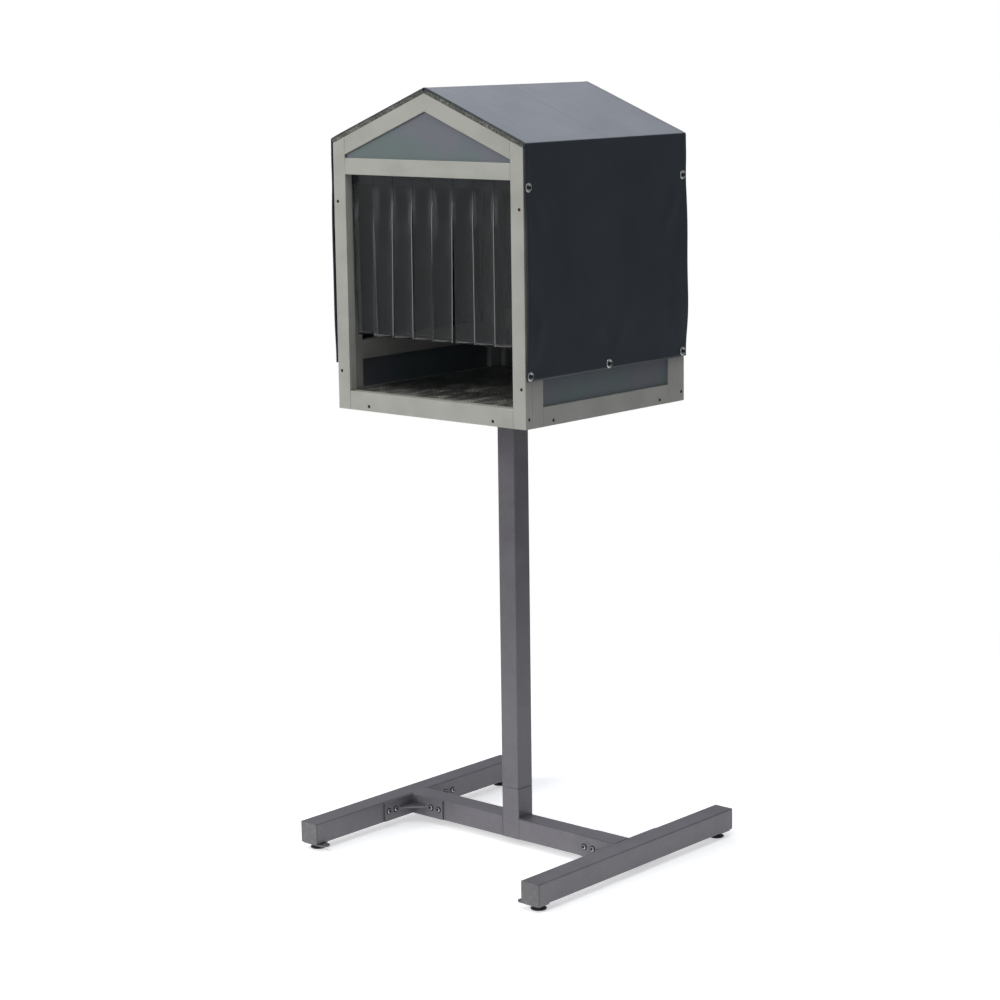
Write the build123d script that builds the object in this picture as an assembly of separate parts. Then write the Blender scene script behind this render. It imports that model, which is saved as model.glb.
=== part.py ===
from build123d import *
import math
import os

# Raised calf hutch on a single post with an H-shaped steel base.
# Millimetres, +Z up, front towards -Y, origin on the floor under the post's axis.

# Stand: square steel tube, all of one section
tube_size = 65.0
tube_wall = 3.0
tube_corner = 4.0
base_width = 930.0
rail_length = 894.0  # without its end caps
foot_height = 20.0  # floor to the underside of the rails with the feet at mid travel
stub_height = 156.0  # centre socket, from the underside of the rails to the post joint
spigot_clearance = 0.2  # each side, inside the post
spigot_wall = 3.0
spigot_drop = 110.0  # spigot below the post joint
spigot_rise = 130.0  # spigot above the post joint
cap_thickness = 3.0
cap_insert = 18.0
cap_clearance = 0.2

# Corner brackets between rails and crossbar
bracket_leg = 128.0
bracket_height = 61.0
bracket_plate = 5.0
bracket_web = 67.0
bracket_bolt_distances = (81.0, 112.0)  # from the inner corner along each leg
bolt_radius = 4.0
bolt_head_radius = 7.0
bolt_head_height = 5.0
bolt_reach = 8.0  # shank inside the tube beyond its wall
hole_clearance = 0.15

# Feet and floor anchors
foot_inset = 34.0  # rail end to the foot's axis
pad_radius = 23.0
stud_radius = 5.0
stud_clearance = 0.08
foot_travel_down = 15.0
foot_travel_up = 3.0
nut_margin = 1.0  # pad to lock nut with the foot screwed right in
stud_engagement = 10.0  # stud above the rail's lower wall with the foot screwed right out
lug_thickness = 4.0
lug_width = 34.0  # of the ear beside the rail
lug_inset = 2.0  # rail end to the lug's outer edge
lug_overhang = 26.0  # beyond the rail's inner side
lug_margin = 8.0  # plate around the stud's hole
anchor_hole_radius = 6.0
anchor_hole_offset = 13.0  # rail's inner side to the hole's axis
lock_nut_flats = 17.0
lock_nut_height = 5.0

# Post head
top_plate_size = 300.0
top_plate_thickness = 6.0
joist_spacing = 220.0  # between the two floor joists, centre to centre
joist_screw_pitch = 200.0
coach_screw_radius = 4.0
coach_head_radius = 7.5
coach_head_height = 5.5
coach_screw_length = 36.0  # under the head

# Hutch: planed and painted timber frames
hutch_bottom = 1326.0
hutch_width = 712.0
hutch_depth = 708.0
eave_height = 760.0  # all heights from here on are from the hutch's underside
gable_rise = 142.0
member_width = 46.0
member_thickness = 28.0
bottom_rail_height = 54.0
mid_rail_height = 56.0
side_mid_rail_bottom = 137.0
rear_mid_rail_bottom = 178.0
lintel_bottom = 673.0
panel_thickness = 6.0
panel_recess = 6.0  # outer face of a frame to the outer face of its panel
floor_thickness = 12.0
joist_width = 45.0
ledger_width = 20.0

# Roof and fabric cover
roof_board_thickness = 12.0
fabric_thickness = 1.5
fabric_gap = 0.5
cover_hem = 132.0
peg_rows = (146.0, 655.0)
peg_edge = 14.0  # front or rear face of the hutch to the peg's axis
peg_base_radius = 9.0
peg_base_height = 2.0
peg_stem_radius = 3.2
peg_head_radius = 5.2
peg_head_height = 4.0
peg_stand_off = 3.5  # fabric's outer face to the underside of the peg's head
eyelet_bore = 6.5
eyelet_wall = 0.7
eyelet_radius = 13.0
eyelet_back_radius = 11.0
eyelet_face = 1.6
eyelet_back = 0.9
eyelet_clearance = 0.1

# Strip curtain
strip_count = 8
strip_pitch = 76.0
strip_gap = 1.2
strip_thickness = 2.0
strip_bottom = 216.0
curtain_fold = 640.0  # height of the fold line where the strips part from the head
head_clearance = 0.3
batten_bottom = 644.0
batten_height = 70.0
batten_thickness = 18.0
batten_side_clearance = 1.0

# Frame screws
screw_head_radius = 4.2
screw_head_depth = 2.6
screw_shank_radius = 2.2
screw_length = 45.0
short_screw_length = 34.0
sill_screw_length = 24.0
screw_proud = 0.2  # head over the timber's face
screw_tip = 1.5  # hole beyond a screw's end
front_screw_edge = 15.0  # outer side of a stile to its screws
front_screw_heights = (110.0, 596.0)
sill_screw_edge = 74.0  # inner side of a stile to the screw
sill_screw_height = 14.0
corner_screw_height = 27.0
rail_screw_edge = 42.0  # inner side of a side stile to the screw
corner_screw_edge = 14.0
batten_screw_edge = 77.0  # end of the batten to its outer screws
batten_screw_shares = (-1.0, -1 / 3, 1 / 3, 1.0)
batten_screw_height = 700.0

# Derived
half_width = hutch_width / 2
half_depth = hutch_depth / 2
opening_half = half_width - member_width
inner_half_width = half_width - member_thickness
inner_half_depth = half_depth - member_thickness
slope = math.atan2(gable_rise, half_width)
peak_height = eave_height + gable_rise
rafter_drop = member_width / math.cos(slope)
rail_x = (base_width - tube_size) / 2
rail_inner_x = rail_x - tube_size / 2
joint_z = foot_height + stub_height
post_top = hutch_bottom - top_plate_thickness
foot_y = rail_length / 2 - foot_inset
ear_y = rail_length / 2 - lug_inset - lug_width / 2
bracket_middle = foot_height + tube_size / 2
flap_inner = half_width + (roof_board_thickness + fabric_thickness) * math.sin(slope) + fabric_gap
flap_outer = flap_inner + fabric_thickness
flap_top = eave_height + (roof_board_thickness + fabric_thickness) * math.cos(slope)
rail_end = inner_half_depth - member_width
batten_half = inner_half_width - batten_side_clearance
strip_width = strip_pitch - strip_gap
strip_plane = -inner_half_depth + strip_thickness / 2
pad_height = foot_height - lug_thickness - lock_nut_height - foot_travel_up - nut_margin
stud_length = foot_height + tube_wall + foot_travel_down + stud_engagement

os.makedirs("parts", exist_ok=True)


def save(shape, name):
    """Write one node."""
    export_step(shape, f"parts/{name}.step")


def group(solids):
    """Several separate solids in one node."""
    return Compound(children=list(solids))


def block(x_range, y_range, z_range):
    """Rectangular solid between two corners, heights from the floor."""
    size = [high - low for low, high in (x_range, y_range, z_range)]
    centre = [(high + low) / 2 for low, high in (x_range, y_range, z_range)]
    return Pos(*centre) * Box(*size)


def member(x_range, y_range, z_range):
    """Timber or board with its heights measured from the hutch's underside."""
    heights = [hutch_bottom + height for height in z_range]
    return block(x_range, y_range, heights)


def mirrored(solid):
    """The same solid on the other side of the middle plane."""
    return mirror(solid, about=Plane.YZ)


def profile_along_y(points, y_range):
    """Extrude an outline given as (x, height from the hutch's underside) along Y."""
    low, high = y_range
    outline = Polyline(*[(x, low, hutch_bottom + z) for x, z in points], close=True)
    return extrude(make_face(outline), amount=high - low, dir=(0, 1, 0))


def square_tube(length, size=tube_size, wall=tube_wall, corner=tube_corner):
    """Square hollow section from the origin up +Z."""
    inner = size - 2 * wall
    section = RectangleRounded(size, size, corner) - RectangleRounded(inner, inner, corner - wall)
    return extrude(section, length)


def rod(radius, length):
    """Cylinder from the origin up +Z."""
    return Pos(0, 0, length / 2) * Cylinder(radius, length)


def roof_height(x):
    """Underside of the roof boards over a point across the hutch."""
    return eave_height + gable_rise * (1 - abs(x) / half_width)


# Screws: heads a little proud of the timber, shanks in drilled holes.
# Each place is (position on the surface, direction into the timber, length).
along = {
    "rear": Rot(-90, 0, 0),
    "front": Rot(90, 0, 0),
    "left": Rot(0, -90, 0),
    "right": Rot(0, 90, 0),
    "up": Rot(0, 0, 0),
}


def screw_at(place, heading, length):
    """Countersunk screw driven along its heading from a point on the surface."""
    cone = Pos(0, 0, screw_head_depth / 2) * Cone(
        screw_head_radius, screw_shank_radius, screw_head_depth
    )
    cap = Pos(0, 0, -screw_proud / 2) * Cylinder(screw_head_radius, screw_proud)
    shank = Pos(0, 0, screw_head_depth) * rod(screw_shank_radius, length - screw_head_depth)
    return Pos(*place) * along[heading] * (cone + cap + shank)


def screw_hole_at(place, heading, length):
    """Countersunk clearance for one screw."""
    top = screw_head_radius + hole_clearance
    bottom = screw_shank_radius + hole_clearance
    cone = Pos(0, 0, screw_head_depth / 2) * Cone(top, bottom, screw_head_depth)
    shank = rod(bottom, length + screw_tip)
    return Pos(*place) * along[heading] * (cone + shank)


def screw_places():
    """Every visible frame screw, and the ones that hold the curtain batten."""
    places = []
    corner_z = hutch_bottom + corner_screw_height
    rail_z = hutch_bottom + sill_screw_height
    for face_y, heading in ((-half_depth, "rear"), (half_depth, "front")):
        for side in (-1, 1):
            for height in front_screw_heights:
                x = side * (half_width - front_screw_edge)
                places.append(((x, face_y, hutch_bottom + height), heading, screw_length))
            x = side * (opening_half - sill_screw_edge)
            places.append(((x, face_y, rail_z), heading, sill_screw_length))
    for side, heading in ((-1, "right"), (1, "left")):
        for end in (-1, 1):
            y = end * (half_depth - corner_screw_edge)
            places.append(((side * half_width, y, corner_z), heading, screw_length))
            y = end * (rail_end - rail_screw_edge)
            places.append(((side * half_width, y, rail_z), heading, short_screw_length))
    batten_y = -inner_half_depth + strip_thickness + batten_thickness
    batten_z = hutch_bottom + batten_screw_height
    for share in batten_screw_shares:
        x = share * (batten_half - batten_screw_edge)
        places.append(((x, batten_y, batten_z), "front", short_screw_length))
    return places


all_screw_places = screw_places()
screw_holes = [screw_hole_at(*place) for place in all_screw_places]


def drilled(solid):
    """Cut the clearance of every screw that enters a solid."""
    box = solid.bounding_box()
    for hole in screw_holes:
        if hole.bounding_box().overlaps(box):
            solid = solid - hole
    return solid


# ---------------------------------------------------------------- stand


def base_rail(side):
    """One floor rail, with the holes for its bracket bolts and feet."""
    tube = Pos(side * rail_x, -rail_length / 2, bracket_middle) * Rot(-90, 0, 0)
    rail = tube * square_tube(rail_length)
    for end in (-1, 1):
        hole = Pos(side * rail_x, end * foot_y, foot_height - 1) * rod(
            stud_radius + stud_clearance, tube_wall + 2
        )
        rail = rail - hole
    return rail


def crossbar(side):
    """Half of the crossbar, from the socket to the inner face of a rail."""
    start = tube_size / 2
    bar = Pos(start, 0, bracket_middle) * Rot(0, 90, 0) * square_tube(rail_inner_x - start)
    if side < 0:
        bar = mirrored(bar)
    return bar


def corner_bracket(side, end):
    """Two plates square to each other with a triangular web in the corner at mid height."""
    corner_x = rail_inner_x
    corner_y = tube_size / 2
    low = bracket_middle - bracket_height / 2
    high = bracket_middle + bracket_height / 2
    on_rail = block(
        (corner_x - bracket_plate, corner_x), (corner_y, corner_y + bracket_leg), (low, high)
    )
    on_bar = block(
        (corner_x - bracket_leg, corner_x), (corner_y, corner_y + bracket_plate), (low, high)
    )
    web_low = bracket_middle - bracket_plate / 2
    web_outline = Polyline(
        (corner_x, corner_y, web_low),
        (corner_x - bracket_web, corner_y, web_low),
        (corner_x - bracket_web, corner_y + bracket_plate, web_low),
        (corner_x - bracket_plate, corner_y + bracket_web, web_low),
        (corner_x, corner_y + bracket_web, web_low),
        close=True,
    )
    web = extrude(make_face(web_outline), amount=bracket_plate, dir=(0, 0, 1))
    bracket = on_rail + on_bar + web
    if end < 0:
        bracket = mirror(bracket, about=Plane.XZ)
    if side < 0:
        bracket = mirrored(bracket)
    return bracket


def bracket_bolt_places():
    """Bolt head seats on the brackets, with the way each bolt points."""
    places = []
    for side in (-1, 1):
        for end in (-1, 1):
            for distance in bracket_bolt_distances:
                x = side * (rail_inner_x - bracket_plate)
                y = end * (tube_size / 2 + distance)
                places.append(((x, y, bracket_middle), "right" if side > 0 else "left"))
                x = side * (rail_inner_x - distance)
                y = end * (tube_size / 2 + bracket_plate)
                places.append(((x, y, bracket_middle), "front" if end > 0 else "rear"))
    return places


def bracket_bolt(place, heading):
    """Hexagon bolt through a bracket and one tube wall."""
    head = extrude(RegularPolygon(bolt_head_radius, 6), bolt_head_height)
    shank = rod(bolt_radius, bracket_plate + tube_wall + bolt_reach)
    return Pos(*place) * along[heading] * (Pos(0, 0, -bolt_head_height) * head + shank)


def bracket_bolt_hole(place, heading):
    """Clearance hole through a bracket and one tube wall."""
    hole = rod(bolt_radius + hole_clearance, bracket_plate + tube_wall + 2)
    return Pos(*place) * along[heading] * (Pos(0, 0, -1) * hole)


bolt_places = bracket_bolt_places()
bolt_holes = [bracket_bolt_hole(*place) for place in bolt_places]


def bored(solid):
    """Cut the bracket bolt holes that enter a solid."""
    box = solid.bounding_box()
    for hole in bolt_holes:
        if hole.bounding_box().overlaps(box):
            solid = solid - hole
    return solid


def end_cap(side, end):
    """Plug pressed into a rail's open end."""
    inner = tube_size - 2 * tube_wall - 2 * cap_clearance
    plate = extrude(RectangleRounded(tube_size, tube_size, tube_corner), cap_thickness)
    plug = extrude(RectangleRounded(inner, inner, tube_corner - tube_wall), -cap_insert)
    turn = Rot(-90, 0, 0) if end > 0 else Rot(90, 0, 0)
    return Pos(side * rail_x, end * rail_length / 2, bracket_middle) * turn * (plate + plug)


def anchor_lug(side, end):
    """Flat plate under a rail end around the foot's stud, with an ear for a floor anchor beside the rail."""
    level = foot_height - lug_thickness / 2
    flat_half = tube_size / 2 - tube_corner
    ear_x = rail_inner_x - lug_overhang + lug_width / 2
    ear = Pos(ear_x, ear_y, level) * Cylinder(lug_width / 2, lug_thickness)
    heights = (foot_height - lug_thickness, foot_height)
    neck = block((ear_x, rail_x), (ear_y - lug_width / 2, ear_y + lug_width / 2), heights)
    inner_y = foot_y - stud_radius - stud_clearance - lug_margin
    plate = block((rail_x - flat_half, rail_x + flat_half), (inner_y, ear_y + lug_width / 2), heights)
    lug = ear + neck + plate
    hole_x = rail_inner_x - anchor_hole_offset
    lug = lug - Pos(hole_x, ear_y, level) * Cylinder(anchor_hole_radius, 2 * lug_thickness)
    lug = lug - Pos(rail_x, foot_y, level) * Cylinder(stud_radius + stud_clearance, 2 * lug_thickness)
    if end < 0:
        lug = mirror(lug, about=Plane.XZ)
    if side < 0:
        lug = mirrored(lug)
    return lug


def lock_nut(side, end):
    """Nut under the lug that holds the foot's setting."""
    nut = extrude(RegularPolygon(lock_nut_flats / 2, 6, major_radius=False), -lock_nut_height)
    nut = nut - Cylinder(stud_radius + stud_clearance, 3 * lock_nut_height)
    return Pos(side * rail_x, end * foot_y, foot_height - lug_thickness) * nut


def levelling_foot(side, end):
    """Round pad with a threaded stud."""
    rim = pad_height * 0.5
    pad = rod(pad_radius, rim) + Pos(0, 0, rim + (pad_height - rim) / 2) * Cone(
        pad_radius * 0.9, stud_radius * 2, pad_height - rim
    )
    stud = rod(stud_radius, stud_length)
    return Pos(side * rail_x, end * foot_y, 0) * (pad + stud)


side_names = {-1: "left", 1: "right"}
end_names = {-1: "front", 1: "rear"}
corners = [(side, end) for side in side_names for end in end_names]

for side in side_names:
    save(bored(base_rail(side)), f"base_rail_{side_names[side]}")
    save(bored(crossbar(side)), f"crossbar_{side_names[side]}")
save(group(end_cap(*corner) for corner in corners), "rail_end_caps")
save(group(bored(corner_bracket(*corner)) for corner in corners), "corner_brackets")
save(group(bracket_bolt(*place) for place in bolt_places), "bracket_bolts")
save(group(anchor_lug(*corner) for corner in corners), "anchor_lugs")
save(group(lock_nut(*corner) for corner in corners), "foot_lock_nuts")
for side, end in corners:
    save(levelling_foot(side, end), f"foot_{end_names[end]}_{side_names[side]}")

save(Pos(0, 0, foot_height) * square_tube(stub_height), "post_socket")
save(Pos(0, 0, joint_z) * square_tube(post_top - joint_z), "post")

spigot_size = tube_size - 2 * (tube_wall + spigot_clearance)
spigot_corner = spigot_wall + 0.5
spigot = square_tube(spigot_drop + spigot_rise, spigot_size, spigot_wall, spigot_corner)
save(Pos(0, 0, joint_z - spigot_drop) * spigot, "post_spigot")

# Post head, bolted up into the floor joists
coach_places = [
    (side * joist_spacing / 2, end * joist_screw_pitch / 2, post_top)
    for side in (-1, 1)
    for end in (-1, 1)
]


def coach_screw(place):
    """Hexagon coach screw driven upwards through the top plate."""
    head = extrude(RegularPolygon(coach_head_radius, 6), -coach_head_height)
    return Pos(*place) * (head + rod(coach_screw_radius, coach_screw_length))


def coach_hole(place):
    """Hole through the plate and into the joist."""
    hole = rod(coach_screw_radius + hole_clearance, coach_screw_length + 1 + screw_tip)
    return Pos(*place) * Pos(0, 0, -1) * hole


coach_holes = [coach_hole(place) for place in coach_places]
plate_half = top_plate_size / 2
top_plate = block((-plate_half, plate_half), (-plate_half, plate_half), (post_top, hutch_bottom))
for hole in coach_holes:
    top_plate = top_plate - hole
save(top_plate, "post_top_plate")
save(group(coach_screw(place) for place in coach_places), "top_plate_screws")

# ---------------------------------------------------------------- hutch frames

front = (-half_depth, -inner_half_depth)
rear = (inner_half_depth, half_depth)


def gable_stile(side, y_range):
    """Corner stile with its top bevelled to the roof."""
    outer = side * half_width
    inner = side * opening_half
    points = [(outer, 0), (inner, 0), (inner, roof_height(inner)), (outer, roof_height(outer))]
    return drilled(profile_along_y(points, y_range))


def gable_rafter(side, y_range):
    """Rafter between a stile and the other rafter, cut upright at both ends."""
    foot_x = side * opening_half
    foot_top = roof_height(foot_x)
    points = [
        (foot_x, foot_top),
        (0, peak_height),
        (0, peak_height - rafter_drop),
        (foot_x, foot_top - rafter_drop),
    ]
    return drilled(profile_along_y(points, y_range))


def gable_panel(y_range):
    """Infill of the gable, filling the opening between rafters, stiles and lintel."""
    foot_top = roof_height(opening_half) - rafter_drop
    low = lintel_bottom + member_width
    points = [
        (-opening_half, low),
        (opening_half, low),
        (opening_half, foot_top),
        (0, peak_height - rafter_drop),
        (-opening_half, foot_top),
    ]
    return profile_along_y(points, y_range)


across = (-opening_half, opening_half)
frame_faces = {"front": (front, -1), "rear": (rear, 1)}
for name, (depth, outward) in frame_faces.items():
    for side in side_names:
        save(gable_stile(side, depth), f"{name}_stile_{side_names[side]}")
    save(group(gable_rafter(side, depth) for side in side_names), f"{name}_rafters")
    lintel = member(across, depth, (lintel_bottom, lintel_bottom + member_width))
    save(drilled(lintel), f"{name}_lintel")
    sill = member(across, depth, (0, bottom_rail_height))
    save(drilled(sill), f"{name}_bottom_rail")
    outer_face = outward * (half_depth - panel_recess)
    inner_face = outer_face - outward * panel_thickness
    panel_depth = sorted((outer_face, inner_face))
    save(gable_panel(panel_depth), f"{name}_gable_panel")

# The rear is closed by two panels either side of a mid rail
rear_mid_rail_top = rear_mid_rail_bottom + mid_rail_height
save(member(across, rear, (rear_mid_rail_bottom, rear_mid_rail_top)), "rear_mid_rail")
rear_panel_depth = (half_depth - panel_recess - panel_thickness, half_depth - panel_recess)
rear_fields = ((bottom_rail_height, rear_mid_rail_bottom), (rear_mid_rail_top, lintel_bottom))
save(group(member(across, rear_panel_depth, field) for field in rear_fields), "rear_panels")

# Side frames stand between the front and rear frames
side_thickness = (inner_half_width, half_width)
side_span = (-inner_half_depth, inner_half_depth)
rail_span = (-rail_end, rail_end)
side_mid_rail_top = side_mid_rail_bottom + mid_rail_height
sky_top = peak_height + member_width
sky = profile_along_y(
    [
        (-hutch_width, roof_height(hutch_width)),
        (0, peak_height),
        (hutch_width, roof_height(hutch_width)),
        (hutch_width, sky_top),
        (-hutch_width, sky_top),
    ],
    (-hutch_depth, hutch_depth),
)


def side_stile(end):
    """Side frame stile with its top bevelled to the roof."""
    stile_depth = sorted((end * rail_end, end * inner_half_depth))
    return drilled(member(side_thickness, stile_depth, (0, peak_height)) - sky)


def side_rails():
    """Bottom, middle and top rails of one side frame."""
    bottom = drilled(member(side_thickness, rail_span, (0, bottom_rail_height)))
    middle = member(side_thickness, rail_span, (side_mid_rail_bottom, side_mid_rail_top))
    top = member(side_thickness, rail_span, (eave_height - member_width, peak_height)) - sky
    return [bottom, middle, top]


def side_panel():
    """Infill between the bottom and middle rails of one side."""
    outer_face = half_width - panel_recess
    thickness = (outer_face - panel_thickness, outer_face)
    return member(thickness, rail_span, (bottom_rail_height, side_mid_rail_bottom))


for side, flip in ((1, lambda solid: solid), (-1, mirrored)):
    name = side_names[side]
    save(group(flip(side_stile(end)) for end in end_names), f"side_{name}_stiles")
    save(group(flip(rail) for rail in side_rails()), f"side_{name}_rails")
    save(flip(side_panel()), f"side_{name}_panel")

# Floor panel flush with the bottom rails, on two joists and two ledgers
floor_underside = bottom_rail_height - floor_thickness
inner_width = (-inner_half_width, inner_half_width)
save(member(inner_width, side_span, (floor_underside, bottom_rail_height)), "floor_panel")
joists = []
for side in side_names:
    middle = side * joist_spacing / 2
    span = (middle - joist_width / 2, middle + joist_width / 2)
    joist = member(span, side_span, (0, floor_underside))
    for hole in coach_holes:
        joist = joist - hole
    joists.append(drilled(joist))
    span = sorted((side * inner_half_width, side * (inner_half_width - ledger_width)))
    joists.append(drilled(member(span, side_span, (0, floor_underside))))
save(group(joists), "floor_joists")

# ---------------------------------------------------------------- roof and cover


def roof_slab(side, base, thickness, ridge_plumb):
    """Flat layer on one roof slope between two distances above the rafters.

    Its lower end is square to the slope; its upper end is square too, or plumb at the ridge.
    """
    sine = math.sin(slope)
    cosine = math.cos(slope)
    top = base + thickness
    if ridge_plumb:
        upper = [(0, peak_height + top / cosine), (0, peak_height + base / cosine)]
    else:
        upper = [
            (side * top * sine, peak_height + top * cosine),
            (side * base * sine, peak_height + base * cosine),
        ]
    points = upper + [
        (side * (half_width + base * sine), eave_height + base * cosine),
        (side * (half_width + top * sine), eave_height + top * cosine),
    ]
    return profile_along_y(points, (-half_depth, half_depth))


for side in side_names:
    board = roof_slab(side, 0, roof_board_thickness, False)
    save(board, f"roof_board_{side_names[side]}")
cover_slopes = [roof_slab(side, roof_board_thickness, fabric_thickness, True) for side in side_names]
save(group(cover_slopes), "cover_roof")

lower_row, upper_row = peg_rows
peg_y = half_depth - peg_edge
peg_places = [(end * peg_y, height) for end in end_names for height in peg_rows]
peg_places.append((0, lower_row))


def peg():
    """Mushroom peg screwed to the frame, along +X from the timber's face."""
    head_start = flap_outer - half_width + peg_stand_off
    base = rod(peg_base_radius, peg_base_height)
    stem = rod(peg_stem_radius, head_start + 1)
    dome = Pos(0, 0, head_start + peg_head_height / 2) * Cone(
        peg_head_radius, peg_stem_radius, peg_head_height
    )
    return Rot(0, 90, 0) * (base + stem + dome)


def eyelet():
    """Two flanges and a barrel through the fabric, along +X from the fabric's inner face."""
    barrel_radius = eyelet_bore + eyelet_wall
    barrel = rod(barrel_radius, fabric_thickness)
    face = Pos(0, 0, fabric_thickness + eyelet_face / 2) * Cone(
        eyelet_radius, eyelet_back_radius, eyelet_face
    )
    back = Pos(0, 0, -eyelet_back) * rod(eyelet_back_radius, eyelet_back)
    whole = barrel + face + back
    length = fabric_thickness + eyelet_face + eyelet_back
    return Rot(0, 90, 0) * (whole - Pos(0, 0, -eyelet_back - 1) * rod(eyelet_bore, length + 2))


def cover_flap():
    """Side of the cover, hanging from the eave, with a hole for each eyelet."""
    flap = member((flap_inner, flap_outer), (-half_depth, half_depth), (cover_hem, flap_top))
    hole = Rot(0, 90, 0) * Cylinder(eyelet_bore + eyelet_wall + eyelet_clearance, 4 * fabric_thickness)
    for y, height in peg_places:
        flap = flap - Pos(flap_inner, y, hutch_bottom + height) * hole
    return flap


for side, flip in ((1, lambda solid: solid), (-1, mirrored)):
    name = side_names[side]
    save(flip(cover_flap()), f"cover_flap_{name}")
    eyelets = [Pos(flap_inner, y, hutch_bottom + height) * eyelet() for y, height in peg_places]
    save(group(flip(ring) for ring in eyelets), f"cover_eyelets_{name}")
pegs = [Pos(half_width, y, hutch_bottom + height) * peg() for y, height in peg_places]
save(group(pegs + [mirrored(each) for each in pegs]), "cover_pegs")

# ---------------------------------------------------------------- strip curtain

head_half = strip_count * strip_pitch / 2
head_depth = (-inner_half_depth, -inner_half_depth + strip_thickness)
head_bottom = curtain_fold + strip_thickness / 2 + head_clearance
head_top = batten_bottom + batten_height
save(drilled(member((-head_half, head_half), head_depth, (head_bottom, head_top))), "curtain_head")

batten_depth = (head_depth[1], head_depth[1] + batten_thickness)
batten = member((-batten_half, batten_half), batten_depth, (batten_bottom, head_top))
save(drilled(batten), "curtain_batten")

for index in range(strip_count):
    middle = (index - (strip_count - 1) / 2) * strip_pitch
    span = (middle - strip_width / 2, middle + strip_width / 2)
    strip = member(span, head_depth, (strip_bottom, curtain_fold))
    fold = Pos(middle, strip_plane, hutch_bottom + curtain_fold) * Rot(0, 90, 0)
    save(strip + fold * Cylinder(strip_thickness / 2, strip_width), f"curtain_strip_{index + 1}")

save(group(screw_at(*place) for place in all_screw_places), "frame_screws")
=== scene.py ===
import math

import bmesh
import bpy
from mathutils import Matrix, Vector, noise


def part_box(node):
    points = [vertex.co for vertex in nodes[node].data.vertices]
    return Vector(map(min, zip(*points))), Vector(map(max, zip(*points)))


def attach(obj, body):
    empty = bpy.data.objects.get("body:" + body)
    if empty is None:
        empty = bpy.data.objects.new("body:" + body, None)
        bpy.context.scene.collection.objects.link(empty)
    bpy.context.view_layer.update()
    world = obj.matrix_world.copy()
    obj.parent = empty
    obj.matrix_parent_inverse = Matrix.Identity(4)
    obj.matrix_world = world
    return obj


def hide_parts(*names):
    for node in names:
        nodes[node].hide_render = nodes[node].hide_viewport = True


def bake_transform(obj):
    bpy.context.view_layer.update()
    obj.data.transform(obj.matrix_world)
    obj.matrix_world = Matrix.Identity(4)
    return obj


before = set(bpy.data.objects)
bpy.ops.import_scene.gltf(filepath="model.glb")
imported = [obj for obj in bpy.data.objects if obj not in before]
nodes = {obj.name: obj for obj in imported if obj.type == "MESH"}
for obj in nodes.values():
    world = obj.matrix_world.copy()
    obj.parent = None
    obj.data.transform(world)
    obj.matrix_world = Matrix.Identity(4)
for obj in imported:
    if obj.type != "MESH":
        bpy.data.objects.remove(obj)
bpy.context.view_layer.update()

rootBody = "hutch_and_stand"
mm = 0.001
sides = {"left": -1, "right": 1}
print("frame loaded,", len(nodes), "nodes")


# Small tools that everything below uses

def linear(hexColour):
    values = [int(hexColour[i:i + 2], 16) / 255 for i in (1, 3, 5)]
    return tuple(v / 12.92 if v <= 0.04045 else ((v + 0.055) / 1.055) ** 2.4 for v in values) + (1.0,)


def addNode(tree, kind, inputs=None, ramp=None, **settings):
    node = tree.nodes.new(kind)
    for key, value in settings.items():
        setattr(node, key, value)
    for key, value in (inputs or {}).items():
        if isinstance(value, bpy.types.NodeSocket):
            tree.links.new(value, node.inputs[key])
        else:
            node.inputs[key].default_value = value
    for index, (place, colour) in enumerate(ramp or []):
        stops = node.color_ramp.elements
        stop = stops[index] if index < 2 else stops.new(place)
        stop.position = place
        stop.color = colour
    return node


def startMaterial(name):
    material = bpy.data.materials.new(name)
    material.use_nodes = True
    material.node_tree.nodes.clear()
    return material, material.node_tree


def closeMaterial(tree, surface):
    shader = addNode(tree, "ShaderNodeBsdfPrincipled", surface)
    addNode(tree, "ShaderNodeOutputMaterial", {"Surface": shader.outputs[0]})


def smooth(low, high, value):
    share = min(1.0, max(0.0, (value - low) / (high - low)))
    return share * share * (3 - 2 * share)


def between(low, high, count):
    return [low + (high - low) * step / count for step in range(count + 1)]


# Materials of the stand and the hutch

paint = {
    "light": "#A4A49F",
    "dark": "#9A9A94",
    # the next colour is painted shade, laid into the corners of joints
    "jointShade": "#5E5B54",
    "grainWidth": 2.6 * mm,
    "grainLength": 180 * mm,
    "rollerStipple": 1.6 * mm,
}


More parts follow.
